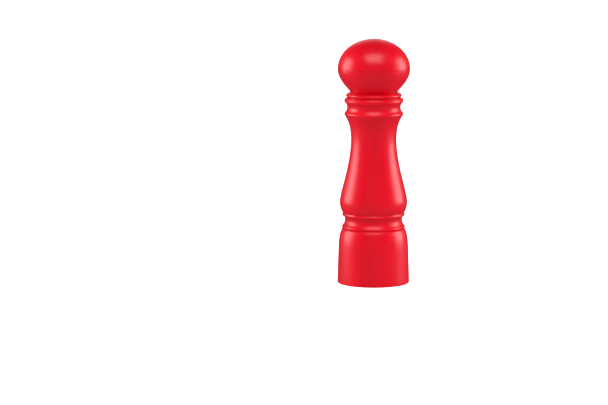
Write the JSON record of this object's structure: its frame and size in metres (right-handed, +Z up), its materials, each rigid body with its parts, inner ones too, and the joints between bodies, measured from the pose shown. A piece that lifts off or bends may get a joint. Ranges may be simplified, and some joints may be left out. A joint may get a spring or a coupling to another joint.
{
  "type": "spice mill",
  "caption": "Turned-profile plastic spice mill with a ball head that drives a conical ceramic grinder and a slotted adjuster dial in its foot.",
  "frame": {"origin": "centre of the foot, on the plane it stands on", "axes": "+Z up along the mill's axis, towards the head; +X through one outlet slot of the dial"},
  "size_m": [0.0618, 0.0618, 0.21],
  "materials": {
    "red_body": "semi-gloss moulded, faint flow and fine scuffs",
    "red_dial": "semi-gloss moulded",
    "red_head": "semi-gloss moulded, faint flow and fine scuffs",
    "white_plastic": "satin moulded",
    "ceramic": "unglazed, fine grained",
    "silicone": "matt",
    "steel": "bright zinc",
    "spring_steel": "drawn",
    "shaft_metal": "drawn bar"
  },
  "bodies": {
    "mill": {"body_shell": "red_body", "grinder_housing": "red_body", "grind_ring": "ceramic", "ring_cushion": "silicone", "ring_retainer": "white_plastic", "feed_bridge": "white_plastic", "bridge_bush": "white_plastic", "bridge_screws": "steel", "spring_seat": "steel", "spring": "spring_steel"},
    "drive": {"drive_shaft": "shaft_metal", "shaft_collar": "white_plastic", "shaft_clips": "spring_steel"},
    "rotor": {"rotor_core": "white_plastic", "grind_cone": "ceramic", "cone_retainer": "spring_steel"},
    "washer": {"thrust_washer": "steel"},
    "dial": {"adjuster_dial": "red_dial"},
    "head": {"head_dome": "red_head", "head_cup": "red_head", "drive_socket": "white_plastic", "socket_screws": "steel", "socket_clip": "spring_steel", "head_seal": "silicone"}
  },
  "joints": [
    {"name": "head_turn", "type": "hinge", "parent": "mill", "child": "drive", "pos_m": [0, 0, 0.041], "axis": [0, 0, 1], "continuous": true},
    {"name": "head_lift", "type": "slide", "parent": "drive", "child": "head", "axis": [0, 0, 1], "range_m": [0, 0.04]},
    {"name": "rotor_lift", "type": "slide", "parent": "drive", "child": "rotor", "axis": [0, 0, 1], "range_m": [0, 0.0012], "deforming": ["spring"]},
    {"name": "dial_rise", "type": "slide", "parent": "mill", "child": "washer", "axis": [0, 0, 1], "range_m": [0, 0.0012]},
    {"name": "dial_turn", "type": "hinge", "parent": "washer", "child": "dial", "pos_m": [0, 0, 0.0052], "axis": [0, 0, 1], "range_deg": [0, 270]}
  ],
  "couplings": [
    {"joint": "dial_rise", "follows": "dial_turn", "m_per_rad": 0.0002546},
    {"joint": "rotor_lift", "follows": "dial_turn", "m_per_rad": 0.0002546}
  ]
}
